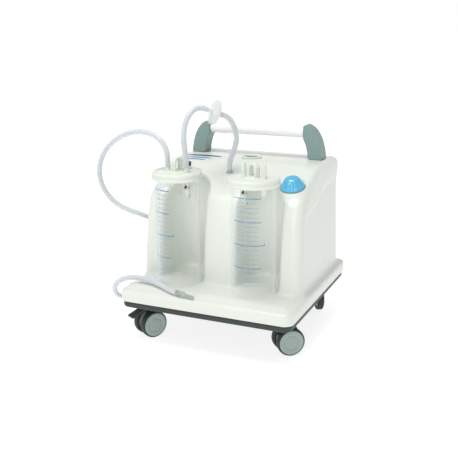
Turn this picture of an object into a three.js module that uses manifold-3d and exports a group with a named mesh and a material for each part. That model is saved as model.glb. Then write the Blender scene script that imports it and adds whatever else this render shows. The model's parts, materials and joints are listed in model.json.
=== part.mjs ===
// Mobile suction pump: a moulded housing on a wheeled base, with two graduated jars in front
// alcoves, a vacuum gauge and regulator, a carrying handle, and a motor pump inside.
// Millimetres. +X is the machine's right, +Y its back, +Z up. The origin is on the floor, under
// the middle of the tray.

import * as THREE from 'three';
import { mergeVertices } from 'three/addons/utils/BufferGeometryUtils.js';
import Module from 'manifold-3d';

const wasm = await Module();
wasm.setup();

// ---- driving dimensions ----

const GAP = 0.3;               // clearance between pieces that touch
const WALL = 4.5;              // thickness of the moulded housing

const TRAY = { halfX: 235, halfY: 238, bottom: 113, rim: 144, floor: 152, corner: 26 };
const PLATE = { inset: 5, bottom: 96 };

const DECK_Z = 446;            // flat top of the housing
const REAR_Y = 216;            // back wall of the housing

const ALCOVE = { x: 103.4, y: -76, radius: 66, spring: 349 };
const JAR = { y: -145, radius: 55.5, wall: 2.8, height: 284, neck: 58 };
const LID = { radius: 63.5, bottom: 430, top: 447, roof: 439, portX: 26 };
const CAGE = { radius: 9, bottom: 376, wall: 1.6 };
const FLOAT = { radius: 5.8, length: 32 };

const HOSE = { radius: 7, sides: 8 };
const FILTER = { radius: 32, halfThickness: 5 };

const WHEEL = { radius: 36, width: 18, offset: 18, bore: 4.4 };
const CASTER = { x: 171, frontY: -145, rearY: 150, trail: 25, axle: 4 };
const BRAKED = ['front_left', 'rear_right'];
const REST_TURN = { front_left: -120, front_right: 40, rear_left: 90, rear_right: 120 };

const KNOB = { x: 170, y: -54, z: 408.5, tilt: 17, flange: 31, dome: 21, height: 27.5 };
const INLET = { x: -14, y: -23, seat: 424.7, top: 432 };
const GAUGE = { x: 0, y: 97, bezel: 27.5, barrel: 24.5, dial: 22.2 };

const HANDLE = { front: 118, depth: 42, barY: 135, barZ: 516, barRadius: 14, inner: 137 };

const PANEL = { halfX: 150, bottom: 165, top: 395, thickness: 3 };
const SOCKET = { x: -105, z: 200 };
const SWITCH = { x: -60, z: 200 };

const MOTOR = { y: 110, z: 195, radius: 42, halfLength: 52, shaft: 6 };

// ---- materials ----

const paint = (color, roughness, metalness = 0, opacity = 1) =>
  new THREE.MeshStandardMaterial({ color, roughness, metalness, opacity, transparent: opacity < 1 });

const LOOK = {
  housing: () => paint(0xf0f2ee, 0.35),
  dark: () => paint(0x33403c, 0.6),
  arm: () => paint(0x859c98, 0.5),
  bar: () => paint(0xe4e7e9, 0.3, 0.2),
  blue: () => paint(0x4fa6c4, 0.2),
  lid: () => paint(0xdfe2d6, 0.4),
  clear: () => paint(0xe6f0f2, 0.1, 0, 0.35),
  silicone: () => paint(0xd5dde4, 0.4, 0, 0.7),
  rubber: () => paint(0x1b1d1d, 0.8),
  wheel: () => paint(0x6f7f7e, 0.6),
  metal: () => paint(0xb9bcbf, 0.3, 0.9),
  white: () => paint(0xf6f6f2, 0.5),
  copper: () => paint(0x6b6f73, 0.5, 0.6),
};

// ---- solids ----

const group = new THREE.Group();

function signedVolume(positions, index) {
  const corner = [new THREE.Vector3(), new THREE.Vector3(), new THREE.Vector3()];
  let volume = 0;
  for (let i = 0; i < index.length; i += 3) {
    corner.forEach((v, k) => v.fromArray(positions, 3 * index[i + k]));
    volume += corner[0].dot(corner[1].cross(corner[2])) / 6;
  }
  return volume;
}

// A three.js geometry as a closed manifold solid with its faces pointing out.
function solid(geometry) {
  const bare = new THREE.BufferGeometry();
  bare.setAttribute('position', geometry.getAttribute('position'));
  bare.setIndex(geometry.getIndex());
  const merged = mergeVertices(bare, 1e-4);
  const vertProperties = Float32Array.from(merged.getAttribute('position').array);
  const source = merged.getIndex().array;
  const kept = [];
  for (let i = 0; i < source.length; i += 3) {
    const [a, b, c] = [source[i], source[i + 1], source[i + 2]];
    if (a !== b && b !== c && a !== c) kept.push(a, b, c);
  }
  if (signedVolume(vertProperties, kept) < 0) kept.reverse();
  const mesh = new wasm.Mesh({ numProp: 3, vertProperties, triVerts: Uint32Array.from(kept) });
  return new wasm.Manifold(mesh);
}

function toGeometry(body) {
  const mesh = body.getMesh();
  const geometry = new THREE.BufferGeometry();
  geometry.setAttribute('position', new THREE.BufferAttribute(mesh.vertProperties, 3));
  geometry.setIndex(new THREE.BufferAttribute(mesh.triVerts, 1));
  geometry.computeVertexNormals();
  return geometry;
}

// Adds one solid to the assembly as a named mesh.
function add(name, body, look, parent = group) {
  const mesh = new THREE.Mesh(toGeometry(body), LOOK[look]());
  mesh.name = name;
  parent.add(mesh);
  return mesh;
}

const moved = (geometry, x, y, z) => geometry.translate(x, y, z);

function box(x0, x1, y0, y1, z0, z1) {
  const geometry = new THREE.BoxGeometry(x1 - x0, y1 - y0, z1 - z0);
  return solid(moved(geometry, (x0 + x1) / 2, (y0 + y1) / 2, (z0 + z1) / 2));
}

// A vertical cylinder between two heights.
function post(x, y, z0, z1, radius, sides = 24) {
  const geometry = new THREE.CylinderGeometry(radius, radius, z1 - z0, sides).rotateX(Math.PI / 2);
  return solid(moved(geometry, x, y, (z0 + z1) / 2));
}

// A solid of revolution about the local Z axis; the profile is [radius, height] pairs.
function turned(profile, sides = 32) {
  const points = profile.map(([r, h]) => new THREE.Vector2(r, h));
  return new THREE.LatheGeometry([...points, points[0]], sides).rotateX(Math.PI / 2);
}

// An outline in the XZ plane, given as [x, z] pairs, pushed along +Y.
function slab(outline, y0, depth, bevel = 0) {
  const shape = new THREE.Shape(outline.map(([x, z]) => new THREE.Vector2(x, z)));
  const options = {
    depth: depth - 2 * bevel, bevelEnabled: bevel > 0, bevelThickness: bevel,
    bevelSize: bevel, bevelOffset: -bevel, bevelSegments: 1, curveSegments: 8,
  };
  const geometry = new THREE.ExtrudeGeometry(shape, options).rotateX(Math.PI / 2);
  return solid(moved(geometry, 0, y0 + depth - bevel, 0));
}

// A tube of round section along a smooth curve through the given points.
function tube(points, radius, sides, steps) {
  const curve = new THREE.CatmullRomCurve3(points.map((p) => new THREE.Vector3(...p)), false, 'centripetal');
  const section = new THREE.Shape();
  section.absarc(0, 0, radius, 0, 2 * Math.PI);
  const geometry = new THREE.ExtrudeGeometry(section, {
    steps, extrudePath: curve, curveSegments: sides / 2,
  });
  return solid(geometry);
}

// One horizontal outline: a rounded rectangle from the front to the rear at a height.
function outline(halfX, front, rear, radius, z, arcSteps = 4) {
  const corners = [
    [halfX - radius, rear - radius, 0], [-halfX + radius, rear - radius, 1],
    [-halfX + radius, front + radius, 2], [halfX - radius, front + radius, 3],
  ];
  return corners.flatMap(([x, y, quarter]) =>
    Array.from({ length: arcSteps + 1 }, (_, k) => {
      const angle = (quarter + k / arcSteps) * Math.PI / 2;
      return new THREE.Vector3(x + radius * Math.cos(angle), y + radius * Math.sin(angle), z);
    }));
}

// A skin through a stack of outlines that all have the same number of points, closed by caps.
function loft(rings) {
  const count = rings[0].length;
  const positions = rings.flat().flatMap((p) => p.toArray());
  const index = [];
  for (let ring = 0; ring + 1 < rings.length; ring++) {
    for (let k = 0; k < count; k++) {
      const a = ring * count + k;
      const b = ring * count + (k + 1) % count;
      index.push(a, b, b + count, a, b + count, a + count);
    }
  }
  const last = (rings.length - 1) * count;
  for (let k = 1; k + 1 < count; k++) {
    index.push(0, k + 1, k, last, last + k, last + k + 1);
  }
  const geometry = new THREE.BufferGeometry();
  geometry.setAttribute('position', new THREE.Float32BufferAttribute(positions, 3));
  geometry.setIndex(index);
  return solid(geometry);
}

// ---- housing: tray, body, forehead and alcoves in one moulding ----

// Heights up the body with half width, front edge, rear edge and corner radius.
const BODY_STATIONS = [
  [120, 223, -137, REAR_Y, 30],
  [250, 219, -127, REAR_Y, 30],
  [335, 216, -115, REAR_Y, 30],
  [366, 215, -104, REAR_Y, 30],
  [388, 214, -78, REAR_Y, 32],
  [412, 212.5, -42, REAR_Y - 1, 34],
  [430, 210.5, -2, REAR_Y - 3, 34],
  [440, 206.5, 28, REAR_Y - 8, 34],
  [DECK_Z, 198, 52, REAR_Y - 17, 30],
];

const bodyShape = (inset, drop) => loft(BODY_STATIONS.map(([z, halfX, front, rear, radius]) =>
  outline(halfX - inset, front + inset, rear - inset, radius - inset, z - drop, inset > 0 ? 2 : 4)));

const TRAY_STATIONS = [
  [0, TRAY.bottom], [0, TRAY.rim - 8], [3, TRAY.rim - 3], [9, TRAY.rim],
  [33, TRAY.floor - 1], [38, TRAY.floor],
];

const trayShape = (inset, drop) => loft(TRAY_STATIONS.map(([inward, z], level) => {
  const shift = inset + inward;
  return outline(TRAY.halfX - shift, -TRAY.halfY + shift, TRAY.halfY - shift,
    Math.max(TRAY.corner - shift, 6), level === 0 ? z - inset / WALL : z - drop, inset > 0 ? 2 : 4);
}));

// A vertical slot with a round back, capped by a round arch.
function alcoveShape(x, grow, floor) {
  const radius = ALCOVE.radius + grow;
  const curveSegments = grow > 0 ? 7 : 12;
  const reach = TRAY.halfY + 60;
  const plan = new THREE.Shape();
  plan.moveTo(x - radius, -reach);
  plan.lineTo(x + radius, -reach);
  plan.lineTo(x + radius, ALCOVE.y);
  plan.absarc(x, ALCOVE.y, radius, 0, Math.PI);
  plan.closePath();
  const height = 320;
  const column = new THREE.ExtrudeGeometry(plan, { depth: height, bevelEnabled: false, curveSegments });
  const front = new THREE.Shape();
  front.moveTo(x - radius, floor);
  front.lineTo(x + radius, floor);
  front.lineTo(x + radius, ALCOVE.spring);
  front.absarc(x, ALCOVE.spring, radius, 0, Math.PI);
  front.closePath();
  const arch = new THREE.ExtrudeGeometry(front, { depth: 2 * reach, bevelEnabled: false, curveSegments });
  arch.rotateX(Math.PI / 2);
  return solid(moved(column, 0, 0, floor)).intersect(solid(moved(arch, 0, reach, 0)));
}

// Places a piece turned about +Z so that it stands on the tilted regulator boss.
function onBoss(geometry) {
  return geometry.rotateX(THREE.MathUtils.degToRad(KNOB.tilt)).translate(KNOB.x, KNOB.y, KNOB.z);
}

function bossCylinder(radius, low, high, sides = 32) {
  return solid(onBoss(turned([[0, low], [radius, low], [radius, high], [0, high]], sides)));
}

function housing() {
  let outer = trayShape(0, 0).add(bodyShape(0, 0)).add(bossCylinder(KNOB.flange + 2.5, -26, -GAP))
    .add(post(INLET.x, INLET.y, 405, INLET.seat, 13));
  let inner = trayShape(WALL, WALL).add(bodyShape(WALL, WALL));
  for (const x of [-ALCOVE.x, ALCOVE.x]) {
    outer = outer.subtract(alcoveShape(x, 0, TRAY.floor));
    inner = inner.subtract(alcoveShape(x, WALL, TRAY.floor - WALL));
  }
  outer = outer.subtract(bossCylinder(KNOB.flange + 4, -GAP, 40))
    .subtract(post(INLET.x, INLET.y, INLET.seat, 440, 13));
  return outer.subtract(inner)
    .subtract(bossCylinder(4, -40, 10, 16))
    .subtract(bossCylinder(9.6, -40, -6, 24))
    .subtract(post(GAUGE.x, GAUGE.y, DECK_Z - 20, DECK_Z + 5, GAUGE.barrel + 0.7, 32))
    .subtract(post(INLET.x, INLET.y, 400, 440, 5, 16))
    .subtract(box(-PANEL.halfX + 14, PANEL.halfX - 14, REAR_Y - 20, REAR_Y + 10, PANEL.bottom + 14, PANEL.top - 14));
}

add('housing_shell', housing(), 'housing');

add('base_plate', loft([[PLATE.bottom, 3], [PLATE.bottom + 3, 0], [TRAY.bottom - GAP - 1, 0]].map(([z, edge]) => {
  const shift = PLATE.inset + edge;
  return outline(TRAY.halfX - shift, -TRAY.halfY + shift, TRAY.halfY - shift, TRAY.corner - 4, z);
})), 'dark');

// ---- rear panel, mains inlet and switch ----

const PANEL_IN = REAR_Y + GAP;
const PANEL_OUT = PANEL_IN + PANEL.thickness;

function rearPanel() {
  const frame = [
    [-PANEL.halfX, PANEL.bottom], [PANEL.halfX, PANEL.bottom],
    [PANEL.halfX, PANEL.top], [-PANEL.halfX, PANEL.top],
  ];
  let plate = slab(frame, PANEL_IN, PANEL.thickness)
    .subtract(box(SOCKET.x - 20.5, SOCKET.x + 20.5, PANEL_IN - 5, PANEL_OUT + 5, SOCKET.z - 20.5, SOCKET.z + 20.5))
    .subtract(box(SWITCH.x - 11.5, SWITCH.x + 11.5, PANEL_IN - 5, PANEL_OUT + 5, SWITCH.z - 14.5, SWITCH.z + 14.5));
  for (let slot = 0; slot < 6; slot++) {
    const z = 270 + slot * 16;
    plate = plate.subtract(box(-70, 70, PANEL_IN - 5, PANEL_OUT + 5, z, z + 6));
  }
  return plate;
}

add('rear_panel', rearPanel(), 'housing');

const flangeY = PANEL_OUT + GAP;
const inletBody = box(SOCKET.x - 25, SOCKET.x + 25, flangeY, flangeY + 3, SOCKET.z - 25, SOCKET.z + 25)
  .add(box(SOCKET.x - 20, SOCKET.x + 20, flangeY - 26, flangeY + 1, SOCKET.z - 20, SOCKET.z + 20));
const fuseSlot = { bottom: SOCKET.z - 19, top: SOCKET.z - 9 };
add('mains_inlet', inletBody
  .subtract(box(SOCKET.x - 12, SOCKET.x + 12, flangeY - 14, flangeY + 5, SOCKET.z - 4, SOCKET.z + 13))
  .subtract(box(SOCKET.x - 12, SOCKET.x + 12, flangeY - 18, flangeY + 5, fuseSlot.bottom, fuseSlot.top)), 'rubber');
add('fuse_drawer', box(SOCKET.x - 11.6, SOCKET.x + 11.6, flangeY - 17.5, flangeY + 5,
  fuseSlot.bottom + 0.4, fuseSlot.top - 0.4), 'dark');

add('switch_bezel', box(SWITCH.x - 14, SWITCH.x + 14, flangeY, flangeY + 2.5, SWITCH.z - 17, SWITCH.z + 17)
  .add(box(SWITCH.x - 11, SWITCH.x + 11, flangeY - 20, flangeY + 1, SWITCH.z - 14, SWITCH.z + 14))
  .subtract(box(SWITCH.x - 9, SWITCH.x + 9, flangeY - 10, flangeY + 5, SWITCH.z - 12, SWITCH.z + 12)), 'rubber');
const rockerOutline = [[-9.5, 0], [9.5, 0], [10, 3.5], [0, 5.5], [-10, 7]];
const rocker = new THREE.ExtrudeGeometry(
  new THREE.Shape(rockerOutline.map(([along, out]) => new THREE.Vector2(along, out))),
  { depth: 17, bevelEnabled: false });
rocker.translate(0, 0, -8.5).applyMatrix4(new THREE.Matrix4().makeBasis(
  new THREE.Vector3(0, 0, 1), new THREE.Vector3(0, 1, 0), new THREE.Vector3(-1, 0, 0)));
add('switch_rocker', solid(moved(rocker, SWITCH.x, flangeY - 4, SWITCH.z)), 'dark');

// ---- handle ----

const ARM_OUTLINE = [
  [151, DECK_Z + GAP], [150, 464], [145, 484], [139, 497], [HANDLE.inner, 502], [HANDLE.inner, 534],
  [141, 537], [151, 534.5], [162, 527], [173, 513], [181, 497], [187, 477], [190.5, 456], [191, DECK_Z + GAP],
];
add('handle_arm_right', slab(ARM_OUTLINE, HANDLE.front, HANDLE.depth, 2.5), 'arm');
add('handle_arm_left', slab(ARM_OUTLINE.map(([x, z]) => [-x, z]).reverse(), HANDLE.front, HANDLE.depth, 2.5), 'arm');

const barLength = 2 * (HANDLE.inner - GAP);
const barGeometry = new THREE.CylinderGeometry(HANDLE.barRadius, HANDLE.barRadius, barLength, 28).rotateZ(Math.PI / 2);
add('handle_bar', solid(moved(barGeometry, 0, HANDLE.barY, HANDLE.barZ)), 'bar');

// ---- vacuum gauge ----

const GAUGE_FLOOR = 434.7;
const atGauge = (profile, sides) => solid(moved(turned(profile, sides), GAUGE.x, GAUGE.y, 0));
add('gauge_case', atGauge([
  [0, 416], [GAUGE.barrel, 416], [GAUGE.barrel, DECK_Z + GAP], [GAUGE.bezel, DECK_Z + GAP],
  [GAUGE.bezel, 449], [26, 450.5], [23.5, 450], [GAUGE.dial + GAP, 447], [GAUGE.dial + GAP, GAUGE_FLOOR],
  [0, GAUGE_FLOOR],
], 28), 'dark');
add('gauge_dial', atGauge([
  [0, 435], [GAUGE.dial, 435], [GAUGE.dial, 436.2], [1.2, 436.2], [1.2, 440], [0, 440],
], 32), 'white');
add('gauge_lens', atGauge([[0, 442], [GAUGE.dial, 442], [GAUGE.dial, 444], [0, 444]], 32), 'clear');
const needleHub = atGauge([[1.6, 437], [3.2, 437], [3.2, 438.5], [1.6, 438.5]], 16);
const pointer = new THREE.BoxGeometry(14.8, 1.8, 1).translate(-9.6, 0, 0).rotateZ(Math.PI / 4);
add('gauge_needle', needleHub.add(solid(moved(pointer, GAUGE.x, GAUGE.y, 437.7))), 'dark');

// ---- vacuum regulator and inlet ----

add('regulator_knob', solid(onBoss(turned([
  [0, -14], [3, -14], [3, 0], [KNOB.flange - 1, 0], [KNOB.flange, 2.5], [KNOB.flange - 3, 6.5],
  [KNOB.dome + 3, 10.5], [KNOB.dome, 15], [KNOB.dome - 2.5, 21], [KNOB.dome - 8, 25.5], [0, KNOB.height],
], 24))), 'blue');
add('regulator_valve', solid(onBoss(turned([
  [0, -21], [9, -21], [9, -8], [3.6, -8], [3.6, -16], [0, -16],
], 24))), 'metal');

const inletProfile = [
  [0, 402], [4.5, 402], [4.5, INLET.seat + GAP], [10, INLET.seat + GAP], [10, 427.5], [6, 428.5],
  [6, INLET.top], [0, INLET.top],
];
add('vacuum_inlet', solid(moved(turned(inletProfile, 24), INLET.x, INLET.y, 0)), 'dark');

// ---- jars ----

const JAR_PROFILE = [
  [0, 9.5], [42.5, 9.5], [45.5, 0], [50.5, 0], [54.5, 5], [JAR.radius, 14], [JAR.radius, 270],
  [JAR.neck, 273], [JAR.neck, JAR.height], [54.5, JAR.height], [JAR.radius - JAR.wall, 270],
  [JAR.radius - JAR.wall, 14], [50, 6.5], [47.5, 4.5], [44.5, 13.5], [0, 13.5],
];
const JAR_BASE = TRAY.floor + GAP;
const RIM_Z = JAR_BASE + JAR.height;

const atJar = (x, profile, sides) => solid(moved(turned(profile, sides), x, JAR.y, 0));

function lid(x, connected, gripTurn) {
  const top = connected ? 455 : 480;
  let body = atJar(x, [
    [0, LID.roof], [LID.radius - 4.2, LID.roof], [LID.radius - 4.2, LID.bottom], [LID.radius - 1, LID.bottom],
    [LID.radius, 432], [LID.radius, 442], [LID.radius - 1.5, 445.5], [LID.radius - 6, LID.top],
    [0, LID.top],
  ], 28);
  for (const side of [-1, 1]) {
    const portX = x + side * LID.portX;
    const stub = moved(turned([[0, LID.top - 2], [6.5, LID.top - 2], [5.5, top], [0, top]], 16), portX, JAR.y, 0);
    body = body.add(solid(stub));
  }
  const patientSide = connected ? -1 : 1;
  body = body.add(post(x + patientSide * LID.portX, JAR.y, 402, LID.roof + 2, 6, 16));
  const arch = new THREE.Shape();
  arch.moveTo(-14, 0);
  arch.lineTo(14, 0);
  arch.lineTo(14, 21);
  arch.absarc(0, 21, 14, 0, Math.PI);
  arch.closePath();
  const hole = new THREE.Path();
  hole.moveTo(-8, 6);
  hole.lineTo(8, 6);
  hole.lineTo(8, 21);
  hole.absarc(0, 21, 8, 0, Math.PI);
  hole.closePath();
  arch.holes.push(hole);
  const grip = new THREE.ExtrudeGeometry(arch, { depth: 16, bevelEnabled: false, curveSegments: 8 });
  grip.translate(0, 0, -8).rotateX(Math.PI / 2).rotateZ(THREE.MathUtils.degToRad(gripTurn));
  body = body.add(solid(moved(grip, x, JAR.y, LID.top - 1)));
  if (connected) body = body.add(post(x + 12, JAR.y + 42, LID.top - 2, 452, 6, 16));
  return body;
}

const JARS = [
  { number: 1, x: -ALCOVE.x, connected: true, gripTurn: 70 },
  { number: 2, x: ALCOVE.x, connected: false, gripTurn: -24 },
];

for (const { number, x, connected, gripTurn } of JARS) {
  const vacuumX = x + (connected ? LID.portX : -LID.portX);
  const onCage = (profile, sides) => solid(moved(turned(profile, sides), vacuumX, JAR.y, 0));
  add(`jar_${number}`, atJar(x, JAR_PROFILE.map(([r, h]) => [r, h + JAR_BASE]), 28), 'clear');
  add(`lid_${number}`, lid(x, connected, gripTurn), 'lid');
  add(`lid_gasket_${number}`, atJar(x, [
    [54, RIM_Z + GAP], [JAR.neck, RIM_Z + GAP], [JAR.neck, LID.roof - GAP], [54, LID.roof - GAP],
  ], 28), 'rubber');
  const cageTop = LID.roof - GAP;
  const cage = onCage([
    [0, CAGE.bottom], [CAGE.radius, CAGE.bottom], [CAGE.radius, cageTop], [CAGE.radius - CAGE.wall, cageTop],
    [CAGE.radius - CAGE.wall, CAGE.bottom + 1.5], [0, CAGE.bottom + 1.5],
  ], 16);
  add(`float_cage_${number}`, cage
    .subtract(box(vacuumX - 12, vacuumX + 12, JAR.y - 3, JAR.y + 3, CAGE.bottom + 6, cageTop - 12))
    .subtract(box(vacuumX - 3, vacuumX + 3, JAR.y - 12, JAR.y + 12, CAGE.bottom + 6, cageTop - 12)), 'clear');
  const floatBase = CAGE.bottom + 1.5 + GAP;
  add(`float_${number}`, onCage([
    [0, floatBase], [FLOAT.radius - 1, floatBase], [FLOAT.radius, floatBase + 2],
    [FLOAT.radius, floatBase + FLOAT.length - 3], [FLOAT.radius - 2, floatBase + FLOAT.length],
    [0, floatBase + FLOAT.length],
  ], 16), 'rubber');
}

const CAP = { x: -ALCOVE.x + 12, y: JAR.y + 42, bottom: 452 + GAP, top: 466 };
add('port_cap', solid(moved(turned([
  [0, CAP.bottom], [6, CAP.bottom], [7, CAP.bottom + 4], [7, CAP.top - 2], [5.5, CAP.top], [0, CAP.top],
], 20), CAP.x, CAP.y, 0)), 'rubber');

// ---- hoses, filter and patient connector ----

const PORT_TOP = 455 + GAP;
const patientPort = [-ALCOVE.x - LID.portX, JAR.y];
const vacuumPort = [-ALCOVE.x + LID.portX, JAR.y];

const PATIENT_ROUTE = [
  [patientPort[0], patientPort[1], PORT_TOP], [patientPort[0], patientPort[1], 474],
  [-133, -144, 495], [-143, -142, 512], [-162, -138, 526], [-191, -132, 534],
  [-228, -125, 534], [-268, -119, 523], [-306, -112, 503], [-340, -105, 472], [-360, -100, 436],
  [-365, -96, 398], [-354, -91, 362], [-331, -84, 332], [-298, -75, 312], [-268, -61, 299],
  [-249, -38, 284], [-241, -8, 263], [-243, 18, 232], [-252, 32, 192], [-263, 28, 151],
  [-274, 6, 113], [-284, -28, 88], [-291, -68, 75], [-296, -106, 74], [-297.5, -132, 81],
  [-296, -148, 92], [-292, -162, 105], [-286, -173, 118.5], [-276.5, -181.5, 132.5],
  [-262, -187, 145.8], [-243.5, -190, 156.5], [-220, -190.5, 163.3], [-187, -190.5, 165],
  [-156, -196, 163.5], [-125, -206, 160.5], [-98, -216, 156.5], [-72, -224, 154.3],
];
add('patient_hose', tube(PATIENT_ROUTE, HOSE.radius, HOSE.sides, 60), 'silicone');

// The connector lies on the tray, in line with the hose's last stretch.
const hoseEnd = new THREE.Vector3(...PATIENT_ROUTE.at(-1));
const lastRun = hoseEnd.clone().sub(new THREE.Vector3(...PATIENT_ROUTE.at(-2))).normalize();
const connectorGeometry = turned([
  [0, 0], [6.2, 0], [6.2, 14], [7.2, 15], [7.2, 20], [4.6, 21], [3.6, 50], [0, 50],
], 20);
const aim = new THREE.Quaternion().setFromUnitVectors(new THREE.Vector3(0, 0, 1), new THREE.Vector3(0.985, -0.13, -0.075).normalize());
connectorGeometry.applyQuaternion(aim);
const connectorStart = hoseEnd.clone().addScaledVector(lastRun, 1.2);
add('patient_connector', solid(moved(connectorGeometry, ...connectorStart.toArray())), 'clear');

const FILTER_AT = new THREE.Vector3(-35, -65, 585);
const FILTER_AXIS = new THREE.Vector3(0.64, 0.7, -0.36).normalize();
const filterTurn = new THREE.Quaternion().setFromUnitVectors(new THREE.Vector3(0, 0, 1), FILTER_AXIS);
const BARB_END = 20;
for (const [name, side] of [['filter_inlet_half', -1], ['filter_outlet_half', 1]]) {
  const geometry = turned([
    [0, GAP / 2], [FILTER.radius, GAP / 2], [FILTER.radius, 3], [FILTER.radius - 3, FILTER.halfThickness],
    [9, FILTER.halfThickness + 2], [6, FILTER.halfThickness + 4], [6, BARB_END - GAP], [0, BARB_END - GAP],
  ], 24);
  if (side < 0) geometry.rotateX(Math.PI);
  geometry.applyQuaternion(filterTurn);
  add(name, solid(moved(geometry, ...FILTER_AT.toArray())), 'clear');
}

const filterEnd = (side, reach) => FILTER_AT.clone().addScaledVector(FILTER_AXIS, side * reach).toArray();
add('link_hose_jar_side', tube([
  [vacuumPort[0], vacuumPort[1], PORT_TOP], [vacuumPort[0], vacuumPort[1], 470], [-82, -146.5, 532],
  [-80.2, -136, 568], [-73.5, -117, 590.5], [-65.3, -101, 597.5], filterEnd(-1, BARB_END + 14),
  filterEnd(-1, BARB_END),
], HOSE.radius, HOSE.sides, 18), 'silicone');
add('link_hose_inlet_side', tube([
  filterEnd(1, BARB_END), filterEnd(1, BARB_END + 12), [-5.2, -30.5, 560], [1.7, -13.5, 512.5],
  [-12.5, -22.1, 456.5], [INLET.x, INLET.y, 446], [INLET.x, INLET.y, INLET.top + GAP],
], HOSE.radius, HOSE.sides, 16), 'silicone');

// ---- pump inside ----

const alongX = (geometry, x) => moved(geometry.rotateY(Math.PI / 2), x, MOTOR.y, MOTOR.z);
add('pump_motor', solid(alongX(turned([
  [MOTOR.shaft + 1, -MOTOR.halfLength], [MOTOR.radius - 6, -MOTOR.halfLength],
  [MOTOR.radius, -MOTOR.halfLength + 8], [MOTOR.radius, MOTOR.halfLength - 8],
  [MOTOR.radius - 6, MOTOR.halfLength], [MOTOR.shaft + 1, MOTOR.halfLength],
], 28), 0)), 'copper');

const HEAD = { x0: 62, x1: 118 };
add('motor_shaft', solid(alongX(turned([[0, -74], [MOTOR.shaft, -74], [MOTOR.shaft, 60], [0, 60]], 16), 0)), 'metal');

const blade = (turn) => {
  const geometry = new THREE.BoxGeometry(34, 3, 10);
  geometry.rotateX(0.5).translate(24, 0, 0).rotateZ(turn).rotateY(Math.PI / 2);
  return solid(moved(geometry, -65, MOTOR.y, MOTOR.z));
};
let fan = solid(alongX(turned([[MOTOR.shaft + GAP, -6], [12, -6], [12, 6], [MOTOR.shaft + GAP, 6]], 16), -65));
for (let k = 0; k < 5; k++) fan = fan.add(blade(k * 2 * Math.PI / 5));
add('cooling_fan', fan, 'dark');

add('pump_head', box(HEAD.x0, HEAD.x1, MOTOR.y - 36, MOTOR.y + 36, MOTOR.z - 32, MOTOR.z + 34)
  .add(box(HEAD.x0 + 6, HEAD.x1 - 6, MOTOR.y - 30, MOTOR.y + 30, MOTOR.z + 30, MOTOR.z + 48)), 'metal');

const CRADLE_TOP = MOTOR.z - MOTOR.radius + 6;
add('pump_mount', box(-60, HEAD.x1, MOTOR.y - 45, MOTOR.y + 45, TRAY.bottom, TRAY.bottom + 4)
  .add(box(-40, -34, MOTOR.y - 30, MOTOR.y + 30, TRAY.bottom + 3, CRADLE_TOP))
  .add(box(34, 40, MOTOR.y - 30, MOTOR.y + 30, TRAY.bottom + 3, CRADLE_TOP))
  .add(box(HEAD.x0 + 4, HEAD.x1 - 4, MOTOR.y - 25, MOTOR.y + 25, TRAY.bottom + 3, MOTOR.z - 32 - GAP))
  .subtract(solid(alongX(new THREE.CylinderGeometry(MOTOR.radius + GAP, MOTOR.radius + GAP, 120, 28)
    .rotateX(Math.PI / 2), 0))), 'metal');

add('exhaust_silencer', post(160, 150, TRAY.bottom, 230, 22), 'dark');
add('run_capacitor', post(-130, 110, TRAY.bottom, 190, 18, 20), 'white');
add('control_board', box(-195, -110, 60, 64, TRAY.bottom + 20, 220), 'blue');

const HEAD_TOP = MOTOR.z + 48 + GAP;
add('inlet_tube', tube([
  [INLET.x, INLET.y, 402 - GAP], [INLET.x, INLET.y, 392], [0, 4, 378], [40, 50, 340],
  [80, 95, 290], [90, MOTOR.y, 260], [90, MOTOR.y, HEAD_TOP],
], 4, 8, 16), 'silicone');
const sin = Math.sin(THREE.MathUtils.degToRad(KNOB.tilt));
const cos = Math.cos(THREE.MathUtils.degToRad(KNOB.tilt));
const valveEnd = [KNOB.x, KNOB.y + 24 * sin - 0 * cos, KNOB.z - 24 * cos];
add('gauge_tube', tube([
  [GAUGE.x, GAUGE.y, 416 - GAP], [GAUGE.x, GAUGE.y, 405], [30, 80, 392], [90, 42, 388],
  [150, 12, 386], [168, -10, 384], [KNOB.x, valveEnd[1] + 8, valveEnd[2] + 1],
], 3.5, 8, 16), 'silicone');

// ---- casters ----

// Local frame: the swivel axis is Z, the trailing direction is +X, and the axle runs along Y.
function casterFork() {
  const web = new THREE.Shape();
  web.absarc(CASTER.trail, WHEEL.radius, 22, -Math.PI / 2, Math.PI / 4);
  web.lineTo(18, 76);
  web.lineTo(14.5, 77);
  web.lineTo(14.5, 84);
  web.lineTo(-14.5, 84);
  web.lineTo(-12, 62);
  web.closePath();
  const plate = new THREE.ExtrudeGeometry(web, { depth: 14, bevelEnabled: false, curveSegments: 6 });
  plate.translate(0, 0, -7).rotateX(Math.PI / 2);
  const axle = new THREE.CylinderGeometry(CASTER.axle, CASTER.axle, 56, 16).translate(CASTER.trail, 0, WHEEL.radius);
  return solid(plate).add(post(0, 0, 80, PLATE.bottom - GAP, 15, 20)).add(solid(axle));
}

function wheelSolid(side) {
  const half = WHEEL.width / 2;
  const geometry = turned([
    [WHEEL.bore, -half], [WHEEL.radius - 3, -half], [WHEEL.radius, -half + 4],
    [WHEEL.radius, half - 4], [WHEEL.radius - 3, half], [WHEEL.bore, half],
  ], 20);
  geometry.rotateX(Math.PI / 2);
  return solid(moved(geometry, CASTER.trail, side * WHEEL.offset, WHEEL.radius));
}

// The pedal hinges beside the stem and reaches out over the wheels on the trailing side.
function pedalSolid() {
  const profile = [[17, 78], [36, 78], [84, 62], [84, 66], [38, 83.5], [17, 84]];
  const shape = new THREE.Shape(profile.map(([x, z]) => new THREE.Vector2(x, z)));
  const geometry = new THREE.ExtrudeGeometry(shape, { depth: 26, bevelEnabled: false });
  geometry.rotateX(Math.PI / 2);
  return solid(moved(geometry, 0, 13, 0));
}

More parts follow.
